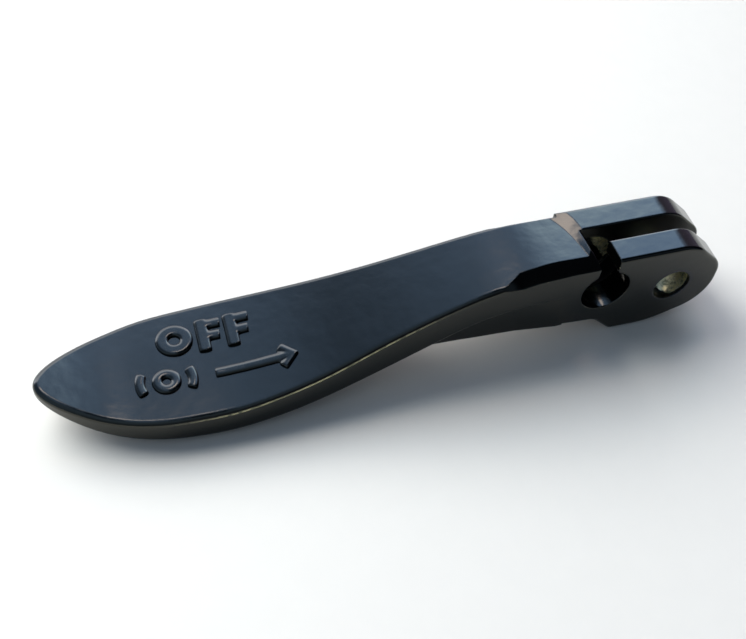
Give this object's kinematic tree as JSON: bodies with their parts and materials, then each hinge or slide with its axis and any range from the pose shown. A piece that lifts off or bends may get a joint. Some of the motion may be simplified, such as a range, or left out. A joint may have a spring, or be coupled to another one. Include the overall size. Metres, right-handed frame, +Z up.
{
  "type": "parking brake hand lever",
  "caption": "Cast hand lever of a parking brake: long curved paddle, waisted neck and a slotted fork with a pivot bore and a round cable seat.",
  "frame": {"origin": "on the pivot axis, midway between the two ears of the fork", "axes": "+Y along the pivot axis, away from the side where the cable seat opens; +X from the paddle to the rounded ears; +Z up, out of the marked face"},
  "size_m": [0.1049, 0.0204, 0.0168],
  "materials": {
    "black_paint": "gloss black paint on cast metal",
    "bore_metal": "bare, reamed"
  },
  "bodies": {
    "root": {"lever_casting": "black_paint", "near_pivot_liner": "bore_metal", "far_pivot_liner": "bore_metal"}
  },
  "joints": []
}
